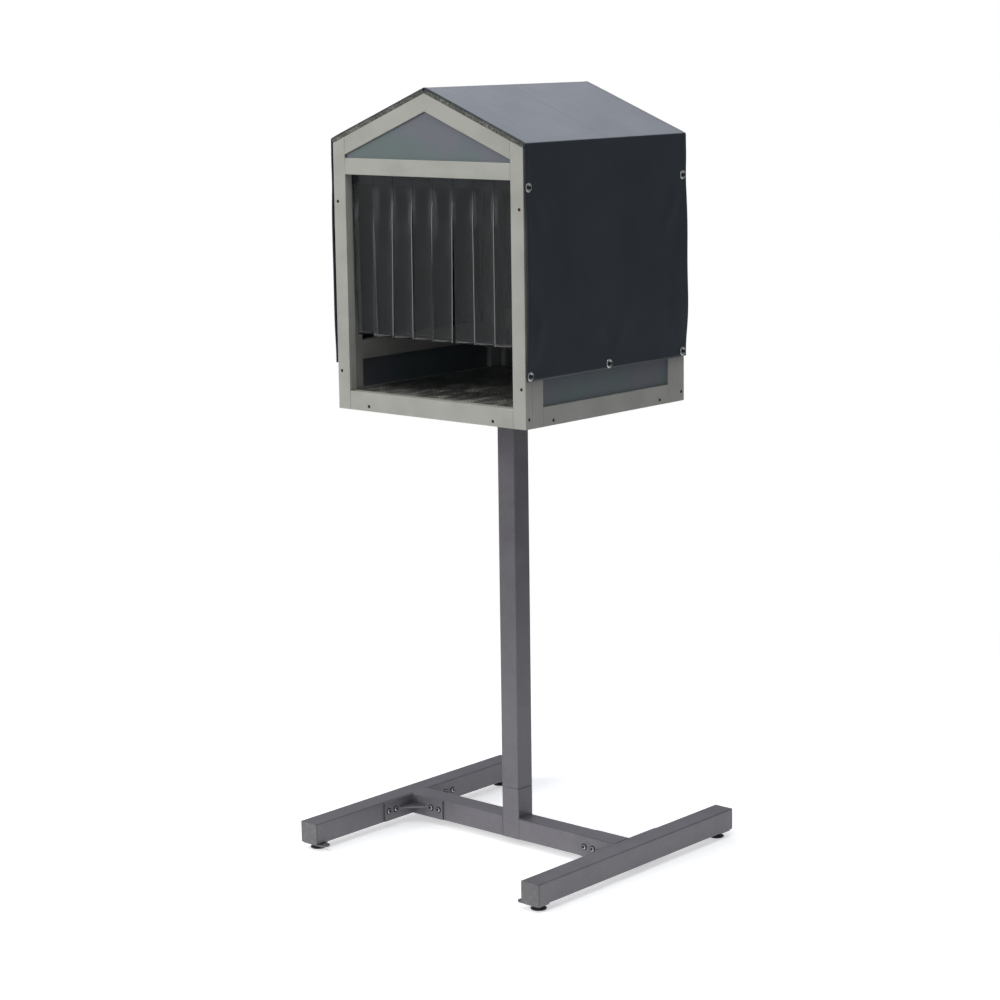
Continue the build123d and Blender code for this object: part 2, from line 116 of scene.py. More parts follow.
def paintedPine(name, along, tilt=0.0, coats=paint):
    # Planed pine under rolled matt paint: dull and even, with the raised grain still just showing.
    material, tree = startMaterial(name)
    place = addNode(tree, "ShaderNodeTexCoord").outputs["Object"]
    if tilt:  # both rafters are one node, so the far one is folded over onto the near one
        parts = addNode(tree, "ShaderNodeSeparateXYZ", {0: place})
        across = addNode(tree, "ShaderNodeMath", {0: parts.outputs[0]}, operation="ABSOLUTE")
        heights = {0: across.outputs[0], 1: parts.outputs[1], 2: parts.outputs[2]}
        folded = addNode(tree, "ShaderNodeCombineXYZ", heights).outputs[0]
        turn = {"Vector": folded, "Angle": -tilt}
        place = addNode(tree, "ShaderNodeVectorRotate", turn, rotation_type="Y_AXIS").outputs[0]
    fine = [1 / paint["grainWidth"]] * 3
    fine["XYZ".index(along)] = 1 / paint["grainLength"]
    grainPlace = addNode(tree, "ShaderNodeMapping", {"Vector": place, "Scale": fine}).outputs[0]
    grain = addNode(tree, "ShaderNodeTexNoise", {"Vector": grainPlace, "Scale": 1.0, "Detail": 3.0})
    stippleScale = 1 / paint["rollerStipple"]
    stipple = addNode(tree, "ShaderNodeTexNoise", {"Vector": place, "Scale": stippleScale, "Detail": 2.0})
    patches = addNode(tree, "ShaderNodeTexNoise", {"Vector": place, "Scale": 9.0, "Detail": 4.0})
    tone = addNode(
        tree, "ShaderNodeValToRGB", {0: patches.outputs[0]},
        ramp=[(0.35, linear(coats["dark"])), (0.65, linear(coats["light"]))],
    )
    streaks = addNode(
        tree, "ShaderNodeValToRGB", {0: grain.outputs[0]},
        ramp=[(0.30, (0.93, 0.925, 0.91, 1)), (0.55, (1, 1, 1, 1))],
    )
    grained = addNode(
        tree, "ShaderNodeMix", {0: 0.35, 6: tone.outputs[0], 7: streaks.outputs[0]},
        data_type="RGBA", blend_type="MULTIPLY",
    )
    # Painted shade: within a few millimetres of every joint the colour darkens towards the darkest tone,
    # where ambient occlusion finds the corners.
    jointOcclusion = addNode(tree, "ShaderNodeAmbientOcclusion", {"Distance": 9 * mm}, samples=4)
    jointShadeMask = addNode(
        tree, "ShaderNodeValToRGB", {0: jointOcclusion.outputs["AO"]},
        ramp=[(0.45, (1, 1, 1, 1)), (0.9, (0, 0, 0, 1))],
    )
    share = addNode(tree, "ShaderNodeMath", {0: jointShadeMask.outputs[0], 1: 0.5}, operation="MULTIPLY")
    colour = addNode(
        tree, "ShaderNodeMix", {0: share.outputs[0], 6: grained.outputs[2], 7: linear(coats["jointShade"])},
        data_type="RGBA",
    )
    relief = addNode(
        tree, "ShaderNodeBump", {"Height": grain.outputs[0], "Strength": 0.3, "Distance": 0.3 * mm}
    )
    skin = addNode(
        tree, "ShaderNodeBump",
        {"Height": stipple.outputs[0], "Strength": 0.25, "Distance": 0.2 * mm, "Normal": relief.outputs[0]},
    )
    gloss = addNode(tree, "ShaderNodeMapRange", {0: patches.outputs[0], 3: 0.48, 4: 0.64})
    closeMaterial(tree, {
        "Base Color": colour.outputs[2], "Roughness": gloss.outputs[0],
        "IOR": 1.5, "Normal": skin.outputs[0],
    })
    return material


# Painted shade: the batten is seen through the clear head, and its paint is given the dark tone of the shade
# it hangs in
battenShadePaint = {"light": "#37373A", "dark": "#2F2F31", "jointShade": "#242424"}
barePine = {"pale": "#C9A878", "late": "#A67F4E", "ringWidth": 5 * mm, "ringLength": 260 * mm}


def sawnPine(name, along):
    # Pine as it left the planer: pale yellow with darker late wood in long narrow bands.
    material, tree = startMaterial(name)
    place = addNode(tree, "ShaderNodeTexCoord").outputs["Object"]
    fine = [1 / barePine["ringWidth"]] * 3
    fine["XYZ".index(along)] = 1 / barePine["ringLength"]
    stretched = addNode(tree, "ShaderNodeMapping", {"Vector": place, "Scale": fine}).outputs[0]
    rings = addNode(
        tree, "ShaderNodeTexNoise", {"Vector": stretched, "Scale": 1.0, "Detail": 5.0, "Distortion": 0.6}
    )
    colour = addNode(
        tree, "ShaderNodeValToRGB", {0: rings.outputs[0]},
        ramp=[(0.38, linear(barePine["late"])), (0.58, linear(barePine["pale"]))],
    )
    relief = addNode(
        tree, "ShaderNodeBump", {"Height": rings.outputs[0], "Strength": 0.3, "Distance": 0.4 * mm}
    )
    closeMaterial(tree, {
        "Base Color": colour.outputs[0], "Roughness": 0.62, "IOR": 1.5, "Normal": relief.outputs[0],
    })
    return material


infill = {"blue": "#60686E", "green": "#5D6969", "violet": "#66676F", "cloud": 130 * mm, "grain": 1.8 * mm}


def extrudedPolypropylene(name):
    # Polypropylene sheet off an extruder: waxy, slightly clouded grey with faint green and violet casts.
    material, tree = startMaterial(name)
    place = addNode(tree, "ShaderNodeTexCoord").outputs["Object"]
    clouds = addNode(
        tree, "ShaderNodeTexNoise", {"Vector": place, "Scale": 1 / infill["cloud"], "Detail": 3.0}
    )
    colour = addNode(
        tree, "ShaderNodeValToRGB", {0: clouds.outputs[0]},
        ramp=[
            (0.36, linear(infill["violet"])), (0.62, linear(infill["green"])), (0.48, linear(infill["blue"])),
        ],
    )
    pores = addNode(
        tree, "ShaderNodeTexNoise", {"Vector": place, "Scale": 1 / infill["grain"], "Detail": 2.0}
    )
    waves = addNode(tree, "ShaderNodeTexNoise", {"Vector": place, "Scale": 7.0, "Detail": 1.0})
    sheet = addNode(
        tree, "ShaderNodeBump", {"Height": waves.outputs[0], "Strength": 0.25, "Distance": 6 * mm}
    )
    skin = addNode(
        tree, "ShaderNodeBump",
        {"Height": pores.outputs[0], "Strength": 0.12, "Distance": 0.2 * mm, "Normal": sheet.outputs[0]},
    )
    gloss = addNode(tree, "ShaderNodeMapRange", {0: clouds.outputs[0], 3: 0.30, 4: 0.42})
    closeMaterial(tree, {
        "Base Color": colour.outputs[0], "Roughness": gloss.outputs[0],
        "IOR": 1.49, "Normal": skin.outputs[0],
    })
    return material


coat = {
    "base": "#6E6C71",
    "dark": "#67656A",
    "fleck": "#8E8E92",
    "fleckSize": 2.4 * mm,  # flakes are about 0.3 mm, drawn eight times as coarse so that they show
    "peel": 2.2 * mm,
}


def powderCoatedSteel(name):
    # Steel under a baked grey powder coat with aluminium flake: a fine glitter over faint orange peel.
    material, tree = startMaterial(name)
    place = addNode(tree, "ShaderNodeTexCoord").outputs["Object"]
    clouds = addNode(tree, "ShaderNodeTexNoise", {"Vector": place, "Scale": 14.0, "Detail": 5.0})
    base = addNode(
        tree, "ShaderNodeValToRGB", {0: clouds.outputs[0]},
        ramp=[(0.35, linear(coat["dark"])), (0.65, linear(coat["base"]))],
    )
    flakes = addNode(tree, "ShaderNodeTexVoronoi", {"Vector": place, "Scale": 1 / coat["fleckSize"]})
    bright = addNode(
        tree, "ShaderNodeValToRGB", {0: flakes.outputs["Color"]},
        ramp=[(0.68, (0, 0, 0, 1)), (0.95, (1, 1, 1, 1))],
    )
    share = addNode(tree, "ShaderNodeMath", {0: bright.outputs[0], 1: 0.3}, operation="MULTIPLY")
    colour = addNode(
        tree, "ShaderNodeMix", {0: share.outputs[0], 6: base.outputs[0], 7: linear(coat["fleck"])},
        data_type="RGBA",
    )
    peel = addNode(tree, "ShaderNodeTexNoise", {"Vector": place, "Scale": 1 / coat["peel"], "Detail": 1.0})
    skin = addNode(
        tree, "ShaderNodeBump", {"Height": peel.outputs[0], "Strength": 0.18, "Distance": 0.3 * mm}
    )
    gloss = addNode(tree, "ShaderNodeMapRange", {0: clouds.outputs[0], 3: 0.36, 4: 0.5})
    closeMaterial(tree, {
        "Base Color": colour.outputs[2], "Metallic": 0.35, "Roughness": gloss.outputs[0],
        "Normal": skin.outputs[0],
    })
    return material


def mouldedPlastic(name, colour, worn, roughness, spark):
    # Nylon or polypropylene from a spark-eroded mould: even colour, fine matt grain, rubbed paler in patches.
    material, tree = startMaterial(name)
    place = addNode(tree, "ShaderNodeTexCoord").outputs["Object"]
    rubbed = addNode(tree, "ShaderNodeTexNoise", {"Vector": place, "Scale": 60.0, "Detail": 5.0})
    tone = addNode(
        tree, "ShaderNodeValToRGB", {0: rubbed.outputs[0]},
        ramp=[(0.48, linear(colour)), (0.72, linear(worn))],
    )
    grain = addNode(tree, "ShaderNodeTexNoise", {"Vector": place, "Scale": 1 / spark, "Detail": 2.0})
    skin = addNode(
        tree, "ShaderNodeBump", {"Height": grain.outputs[0], "Strength": 0.25, "Distance": 0.15 * mm}
    )
    closeMaterial(tree, {
        "Base Color": tone.outputs[0], "Roughness": roughness, "IOR": 1.5, "Normal": skin.outputs[0],
    })
    return material


def platedSteel(name, colour, cloud, roughness, clouding):
    # Plated steel: nearly colourless metal, mirror-bright for chrome, softly clouded for zinc.
    material, tree = startMaterial(name)
    place = addNode(tree, "ShaderNodeTexCoord").outputs["Object"]
    clouds = addNode(tree, "ShaderNodeTexNoise", {"Vector": place, "Scale": 220.0, "Detail": 4.0})
    tone = addNode(
        tree, "ShaderNodeValToRGB", {0: clouds.outputs[0]},
        ramp=[(0.3, linear(cloud)), (0.6, linear(colour))],
    )
    gloss = addNode(tree, "ShaderNodeMapRange", {0: clouds.outputs[0], 3: roughness, 4: roughness + clouding})
    closeMaterial(tree, {"Base Color": tone.outputs[0], "Metallic": 1.0, "Roughness": gloss.outputs[0]})
    return material


meshPly = {
    "film": "#4C4B4A",
    "worn": "#BDBAB4",
    "pitch": 10 * mm,  # the pressed mesh is about 5 mm, drawn coarser so that it shows
}


def pressedPly(name):
    # Plywood faced with dark phenolic film, pressed with a wire mesh for grip: small dull diamonds.
    material, tree = startMaterial(name)
    place = addNode(tree, "ShaderNodeTexCoord").outputs["Object"]
    turned = addNode(
        tree, "ShaderNodeMapping", {"Vector": place, "Rotation": (0, 0, math.radians(45))}
    ).outputs[0]
    parts = addNode(tree, "ShaderNodeSeparateXYZ", {0: turned})
    waves = []
    for axis in (0, 1):
        phase = addNode(
            tree, "ShaderNodeMath", {0: parts.outputs[axis], 1: math.pi / meshPly["pitch"]},
            operation="MULTIPLY"
        )
        wave = addNode(tree, "ShaderNodeMath", {0: phase.outputs[0]}, operation="SINE")
        waves.append(addNode(tree, "ShaderNodeMath", {0: wave.outputs[0]}, operation="ABSOLUTE").outputs[0])
    wires = addNode(tree, "ShaderNodeMath", {0: waves[0], 1: waves[1]}, operation="MINIMUM")
    ridge = addNode(tree, "ShaderNodeMapRange", {0: wires.outputs[0], 1: 0.0, 2: 0.45, 3: 1.0, 4: 0.3})
    scuffPlace = addNode(tree, "ShaderNodeMapping", {"Vector": place, "Scale": (1.0, 0.4, 1.0)}).outputs[0]
    scuffs = addNode(tree, "ShaderNodeTexNoise", {"Vector": scuffPlace, "Scale": 38.0, "Detail": 6.0})
    wear = addNode(tree, "ShaderNodeMapRange", {0: scuffs.outputs[0], 1: 0.44, 2: 0.68})
    shown = addNode(tree, "ShaderNodeMath", {0: ridge.outputs[0], 1: wear.outputs[0]}, operation="MULTIPLY")
    colour = addNode(
        tree, "ShaderNodeMix", {0: shown.outputs[0], 6: linear(meshPly["film"]), 7: linear(meshPly["worn"])},
        data_type="RGBA",
    )
    relief = addNode(
        tree, "ShaderNodeBump", {"Height": ridge.outputs[0], "Strength": 0.8, "Distance": 0.8 * mm}
    )
    gloss = addNode(tree, "ShaderNodeMapRange", {0: wear.outputs[0], 3: 0.34, 4: 0.6})
    closeMaterial(tree, {
        "Base Color": colour.outputs[2], "Roughness": gloss.outputs[0],
        "IOR": 1.5, "Normal": relief.outputs[0],
    })
    return material


felt = {"bitumen": "#3C3D3B", "grit": "#92938C", "gritSize": 3.0 * mm}  # grit is about 1 mm, drawn coarser


def mineralFelt(name):
    # Board faced with bitumen and crushed slate: nearly black, peppered with pale grit.
    material, tree = startMaterial(name)
    place = addNode(tree, "ShaderNodeTexCoord").outputs["Object"]
    grit = addNode(tree, "ShaderNodeTexVoronoi", {"Vector": place, "Scale": 1 / felt["gritSize"]})
    pale = addNode(
        tree, "ShaderNodeValToRGB", {0: grit.outputs["Color"]},
        ramp=[(0.3, linear(felt["bitumen"])), (0.85, linear(felt["grit"]))],
    )
    patches = addNode(tree, "ShaderNodeTexNoise", {"Vector": place, "Scale": 30.0, "Detail": 4.0})
    dusty = addNode(tree, "ShaderNodeMapRange", {0: patches.outputs[0], 1: 0.35, 2: 0.7, 3: 0.25, 4: 0.8})
    colour = addNode(
        tree, "ShaderNodeMix", {0: dusty.outputs[0], 6: linear(felt["bitumen"]), 7: pale.outputs[0]},
        data_type="RGBA",
    )
    relief = addNode(
        tree, "ShaderNodeBump", {"Height": grit.outputs["Distance"], "Strength": 0.6, "Distance": 0.6 * mm}
    )
    closeMaterial(tree, {
        "Base Color": colour.outputs[2], "Roughness": 0.85, "IOR": 1.5, "Normal": relief.outputs[0],
    })
    return material


tarpaulin = {
    "face": "#1D252E",
    "dust": "#273039",
    "thread": 2.2 * mm,  # threads are 0.9 mm apart, drawn coarser so that they show
}


def coatedTarpaulin(name):
    # Polyester cloth calendered with blue-black PVC: a low oily sheen with the weave pressed through it.
    material, tree = startMaterial(name)
    flat = addNode(tree, "ShaderNodeUVMap", uv_map="flat").outputs[0]
    parts = addNode(tree, "ShaderNodeSeparateXYZ", {0: flat})
    waves = []
    for axis in (0, 1):
        phase = addNode(
            tree, "ShaderNodeMath", {0: parts.outputs[axis], 1: 2 * math.pi / tarpaulin["thread"]},
            operation="MULTIPLY",
        )
        waves.append(addNode(tree, "ShaderNodeMath", {0: phase.outputs[0]}, operation="SINE").outputs[0])
    weave = addNode(tree, "ShaderNodeMath", {0: waves[0], 1: waves[1]}, operation="MULTIPLY")
    handling = addNode(
        tree, "ShaderNodeTexNoise", {"Vector": flat, "Scale": 5.0, "Detail": 6.0, "Roughness": 0.6}
    )
    colour = addNode(
        tree, "ShaderNodeValToRGB", {0: handling.outputs[0]},
        ramp=[(0.35, linear(tarpaulin["face"])), (0.75, linear(tarpaulin["dust"]))],
    )
    wrinkles = addNode(
        tree, "ShaderNodeTexNoise", {"Vector": flat, "Scale": 16.0, "Detail": 3.0, "Distortion": 0.4}
    )
    soft = addNode(
        tree, "ShaderNodeBump", {"Height": wrinkles.outputs[0], "Strength": 0.2, "Distance": 4 * mm}
    )
    threads = addNode(
        tree, "ShaderNodeBump",
        {"Height": weave.outputs[0], "Strength": 0.12, "Distance": 0.25 * mm, "Normal": soft.outputs[0]},
    )
    gloss = addNode(tree, "ShaderNodeMapRange", {0: handling.outputs[0], 3: 0.30, 4: 0.46})
    closeMaterial(tree, {
        "Base Color": colour.outputs[0], "Roughness": gloss.outputs[0], "IOR": 1.53,
        "Normal": threads.outputs[0],
    })
    return material


clearSheet = {
    "tint": "#C4CACD",
    "cut": "#B4B8BA",
    "foot": "#3E4143",  # painted shade on the lower edge, which looks dark because one looks along the sheet there
    "drawLine": 14 * mm,
    "cutFrom": 0.945,  # where the painted highlight on the cut edge starts, as a share of a strip's half width
    "cutFull": 0.98,
    "haze": 0.015,  # share of the sheet that scuffs have turned cloudy
    "cutFade": 70 * mm,  # below the fold the edge is bent flat, and its painted highlight grows only by degrees
}


def calenderedPvc(name):
    # Clear plasticised PVC off the rollers: glassy and faintly smoky, with a painted highlight along its cut
    # edges and painted shade along its lower edge.
    material, tree = startMaterial(name)
    flat = addNode(tree, "ShaderNodeUVMap", uv_map="flat").outputs[0]
    across = addNode(tree, "ShaderNodeUVMap", uv_map="across").outputs[0]
    side = addNode(tree, "ShaderNodeSeparateXYZ", {0: across})
    # Painted highlight: a pale, rougher, less clear band along both long edges, faded in below the fold
    edge = addNode(
        tree, "ShaderNodeMapRange", {0: side.outputs[0], 1: clearSheet["cutFrom"], 2: clearSheet["cutFull"]}
    )
    bottom, fold = (corner.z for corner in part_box("curtain_strip_1"))
    glintBelowFold = addNode(
        tree, "ShaderNodeMapRange", {0: side.outputs[1], 1: fold, 2: fold - clearSheet["cutFade"]}
    )
    cut = addNode(
        tree, "ShaderNodeMath", {0: edge.outputs[0], 1: glintBelowFold.outputs[0]}, operation="MULTIPLY"
    ).outputs[0]
    fine = (1 / clearSheet["drawLine"], 4.0, 1.0)
    stretched = addNode(tree, "ShaderNodeMapping", {"Vector": flat, "Scale": fine}).outputs[0]
    ripples = addNode(tree, "ShaderNodeTexNoise", {"Vector": stretched, "Scale": 1.0, "Detail": 1.0})
    smears = addNode(tree, "ShaderNodeTexNoise", {"Vector": flat, "Scale": 14.0, "Detail": 3.0})
    relief = addNode(
        tree, "ShaderNodeBump", {"Height": ripples.outputs[0], "Strength": 0.3, "Distance": 1.2 * mm}
    )
    gloss = addNode(
        tree, "ShaderNodeMapRange", {0: smears.outputs[0], 1: 0.4, 2: 0.75, 3: 0.05, 4: 0.13}
    ).outputs[0]
    # Painted shade: the last few millimetres above the lower edge are tinted dark
    foot = addNode(
        tree, "ShaderNodeMapRange", {0: side.outputs[1], 1: bottom + 4 * mm, 2: bottom + 1 * mm}
    ).outputs[0]
    sheetTint = addNode(
        tree, "ShaderNodeMix", {0: foot, 6: linear(clearSheet["tint"]), 7: linear(clearSheet["foot"])},
        data_type="RGBA",
    )
    tint = addNode(
        tree, "ShaderNodeMix", {0: cut, 6: sheetTint.outputs[2], 7: linear(clearSheet["cut"])},
        data_type="RGBA",
    )
    clear = addNode(tree, "ShaderNodeMapRange", {0: cut, 3: 1.0 - clearSheet["haze"], 4: 0.35})
    rough = addNode(tree, "ShaderNodeMath", {0: cut, 1: 0.35, 2: gloss}, operation="MULTIPLY_ADD")
    closeMaterial(tree, {
        "Base Color": tint.outputs[2], "Roughness": rough.outputs[0], "IOR": 1.53,
        "Transmission Weight": clear.outputs[0], "Normal": relief.outputs[0],
    })
    return material


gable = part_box("front_rafters")
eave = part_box("front_stile_right")
roofTilt = math.atan2(gable[1].z - eave[1].z, eave[0].x)
timber = {axis: paintedPine(f"rolledPaintOnPine{axis}", axis) for axis in "XYZ"}
timber["rafter"] = paintedPine("rolledPaintOnPineRafter", "X", roofTilt)
# the batten's paint is darkened into painted shade
timber["batten"] = paintedPine("rolledPaintOnPineInPaintedShade", "X", 0.0, battenShadePaint)
infillSheet = extrudedPolypropylene("extrudedPolypropyleneInfill")
powderCoat = powderCoatedSteel("powderCoatedSteel")
capPlastic = mouldedPlastic("mouldedNylonCap", "#5A5A5C", "#6A6A6B", 0.45, 1.2 * mm)
footPlastic = mouldedPlastic("mouldedNylonFoot", "#353537", "#4A4A4C", 0.42, 1.2 * mm)
pegPlastic = mouldedPlastic("mouldedAcetalPeg", "#0E0F11", "#1B1C1F", 0.28, 0.8 * mm)
zincPlate = platedSteel("zincPlatedSteel", "#C9CAC8", "#9A9C9B", 0.22, 0.2)
blackSteel = platedSteel("blackOxideSteel", "#2C2C2E", "#1E1E20", 0.4, 0.2)
chromePlate = platedSteel("chromePlatedBrass", "#E2E3E4", "#CFD0D2", 0.06, 0.08)
bronzeCoat = platedSteel("bronzePassivatedSteel", "#6E493C", "#3A2822", 0.38, 0.2)
plyFloor = pressedPly("pressedFilmFacedPly")
roofFelt = mineralFelt("slateFacedBitumenBoard")
coverFabric = coatedTarpaulin("calenderedTarpaulin")
clearPvc = calenderedPvc("calenderedClearPvc")
barePineY = sawnPine("planedPine", "Y")
print("materials made")


# CAD nodes keep their shape; they get their material, and a small arris where the real edge has one

arris = {
    "timber": 1.3 * mm, "board": 0.8 * mm, "sheet": 0.5 * mm,
    "steel": 0.8 * mm, "tube": 2.0 * mm, "plastic": 1.2 * mm,
}


def dress(name, material, edge=None, angle=60):
    piece = nodes[name]
    piece.data.materials.clear()
    piece.data.materials.append(material)
    if edge:
        piece.modifiers.new("weld", "WELD").merge_threshold = 0.005 * mm
        bevel = piece.modifiers.new("arris", "BEVEL")
        bevel.width = arris[edge]
        bevel.segments = 2
        bevel.angle_limit = math.radians(angle)
        bevel.use_clamp_overlap = False
        piece.modifiers.new("shading", "WEIGHTED_NORMAL").keep_sharp = False


for end in ("front", "rear"):
    for side in sides:
        dress(f"{end}_stile_{side}", timber["Z"], "timber")
    dress(f"{end}_rafters", timber["rafter"], "timber")
    dress(f"{end}_lintel", timber["X"], "timber")
    dress(f"{end}_bottom_rail", timber["X"], "timber")
    dress(f"{end}_gable_panel", infillSheet, "sheet")
dress("rear_mid_rail", timber["X"], "timber")
dress("rear_panels", infillSheet, "sheet")
for side in sides:
    dress(f"side_{side}_stiles", timber["Z"], "timber")
    dress(f"side_{side}_rails", timber["Y"], "timber")
    dress(f"side_{side}_panel", infillSheet, "sheet")
    dress(f"roof_board_{side}", roofFelt, "board")
    dress(f"base_rail_{side}", powderCoat)
    dress(f"crossbar_{side}", powderCoat)
dress("floor_panel", plyFloor, "board")
dress("floor_joists", barePineY, "timber")
dress("curtain_batten", timber["batten"], "timber")
dress("post", powderCoat, "tube")
dress("post_socket", powderCoat, "tube")
dress("post_spigot", powderCoat)
dress("post_top_plate", powderCoat, "steel")
dress("corner_brackets", powderCoat, "steel")
dress("anchor_lugs", powderCoat, "steel")
dress("rail_end_caps", capPlastic, "plastic", 40)
dress("foot_lock_nuts", zincPlate, "sheet", 40)
dress("top_plate_screws", zincPlate, "sheet", 40)
print("CAD nodes dressed")


# Building meshes

def finishPiece(bm, name, material, body=None, shade=40, replaces=()):
    bmesh.ops.recalc_face_normals(bm, faces=bm.faces)
    mesh = bpy.data.meshes.new(name)
    bm.to_mesh(mesh)
    bm.free()
    piece = bpy.data.objects.new(name, mesh)
    bpy.context.scene.collection.objects.link(piece)
    mesh.materials.append(material)
    mesh.shade_smooth()
    mesh.set_sharp_from_angle(angle=math.radians(shade))
    if body:
        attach(piece, body)
    if replaces:
        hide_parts(*replaces)
    return piece


def joinRings(bm, rings, closed=False):
    # Faces from each ring of vertices to the next, and when closed from the last back to the first.
    for lower, upper in zip(rings, rings[1:] + (rings[:1] if closed else [])):
        for step in range(len(lower)):
            after = (step + 1) % len(lower)
            bm.faces.new((lower[step], lower[after], upper[after], upper[step]))


def addTurned(bm, rings, place, segments=32):
    # Turned form: each ring is (radius, height), and a radius may be a function of the angle.
    loops = []
    for radius, height in rings:
        loop = []
        for step in range(segments):
            angle = 2 * math.pi * step / segments
            reach = radius(angle) if callable(radius) else radius
            point = Vector((reach * math.cos(angle), reach * math.sin(angle), height))
            loop.append(bm.verts.new(place @ point))
        loops.append(loop)
    joinRings(bm, loops)
    bm.faces.new(reversed(loops[0]))
    bm.faces.new(loops[-1])


def hexagon(flats):
    def radius(angle):
        return flats / 2 / math.cos((angle + math.pi / 6) % (math.pi / 3) - math.pi / 6)
    return radius


def crossSlot(length, width):
    def radius(angle):
        c, s = max(abs(math.cos(angle)), 1e-6), max(abs(math.sin(angle)), 1e-6)
        return max(min(length / c, width / s), min(length / s, width / c)) / 2
    return radius


def islands(name):
    # The separate solids of a node: for each, its box and the way its widest end points.
    bm = bmesh.new()
    bm.from_mesh(nodes[name].data)
    bmesh.ops.remove_doubles(bm, verts=bm.verts, dist=0.005 * mm)
    unseen, found = set(bm.verts), []
    while unseen:
        group, queue = [], [unseen.pop()]
        while queue:
            vert = queue.pop()
            group.append(vert.co.copy())
            for edge in vert.link_edges:
                other = edge.other_vert(vert)
                if other in unseen:
                    unseen.remove(other)
                    queue.append(other)
        low = Vector(min(p[k] for p in group) for k in range(3))
        high = Vector(max(p[k] for p in group) for k in range(3))
        found.append((low, high, group))
    bm.free()
    return sorted(found, key=lambda item: tuple(round(v, 4) for v in item[0]))


def headPlace(low, high, group, axis=None):
    # Matrix at the outer end of a screw-like solid, with +Z pointing out of its head.
    size = high - low
    axis = max(range(3), key=lambda k: size[k]) if axis is None else axis
    middle = (low + high) / 2
    def offAxis(p):
        return math.hypot(*[(p - middle)[k] for k in range(3) if k != axis])
    widest = max(offAxis(p) for p in group)
    wide = [p[axis] for p in group if offAxis(p) > 0.95 * widest]
    outward = 1 if sum(wide) / len(wide) > middle[axis] else -1
    direction = Vector([outward if k == axis else 0 for k in range(3)])
    middle[axis] = high[axis] if outward > 0 else low[axis]
    return Matrix.Translation(middle) @ direction.to_track_quat("Z", "Y").to_matrix().to_4x4()


# Countersunk screws: the head of each, with a cross recess

screw = {
    "head": 4.6 * mm, "shank": 2.2 * mm, "cone": 2.6 * mm,
    "slot": 4.6 * mm, "slotWidth": 1.5 * mm, "deep": 1.9 * mm,
}
bm = bmesh.new()
for low, high, group in islands("frame_screws"):
    place = headPlace(low, high, group)
    length = max(high - low)
    slot = crossSlot(screw["slot"], screw["slotWidth"])
    tip = crossSlot(screw["slot"] * 0.6, screw["slotWidth"] * 0.7)
    addTurned(bm, [
        (0.3 * mm, -length), (screw["shank"], -length + 3 * mm), (screw["shank"], -screw["cone"]),
        (screw["head"] - 0.1 * mm, -0.25 * mm), (screw["head"], -0.12 * mm), (screw["head"] - 0.25 * mm, 0),
        (slot, 0), (slot, -0.2 * mm), (tip, -screw["deep"]),
    ], place, 40)
finishPiece(bm, "frameScrews", bronzeCoat, rootBody, 35, ["frame_screws"])

# Bracket bolts: washer, domed head with a hexagon socket, and the shank

bolt = {
    "high": 5 * mm, "washer": 9.6 * mm, "washerThick": 1.3 * mm, "head": 7.2 * mm,
    "socket": 8.4 * mm, "deep": 3.4 * mm, "shank": 4.0 * mm,
}
bm = bmesh.new()
washers = bmesh.new()
for low, high, group in islands("bracket_bolts"):
    place = headPlace(low, high, group)
    length = max(high - low)
    seat = -bolt["high"]
    dome = [
        (bolt["head"] * math.cos(a), seat + bolt["washerThick"] + 0.6 * mm
         + (bolt["high"] - bolt["washerThick"] - 0.6 * mm) * math.sin(a))
        for a in (math.radians(t) for t in (0, 20, 40, 48))
    ]
    addTurned(bm, [
        (bolt["shank"] - 0.8 * mm, -length), (bolt["shank"], -length + 1 * mm),
        (bolt["shank"], seat + bolt["washerThick"]), (bolt["head"], seat + bolt["washerThick"]), *dome,
        (hexagon(bolt["socket"]), dome[-1][1] + 0.1 * mm),
        (hexagon(bolt["socket"]), dome[-1][1] - bolt["deep"]),
    ], place, 36)
    addTurned(washers, [
        (bolt["washer"] - 0.3 * mm, seat), (bolt["washer"], seat + 0.3 * mm),
        (bolt["washer"], seat + bolt["washerThick"] - 0.3 * mm),
        (bolt["washer"] - 0.3 * mm, seat + bolt["washerThick"]),
    ], place, 36)
finishPiece(washers, "bracketWashers", blackSteel, rootBody, 30, ())
finishPiece(bm, "bracketBolts", zincPlate, rootBody, 30, ["bracket_bolts"])

# Levelling feet: a ribbed pad under a threaded stud

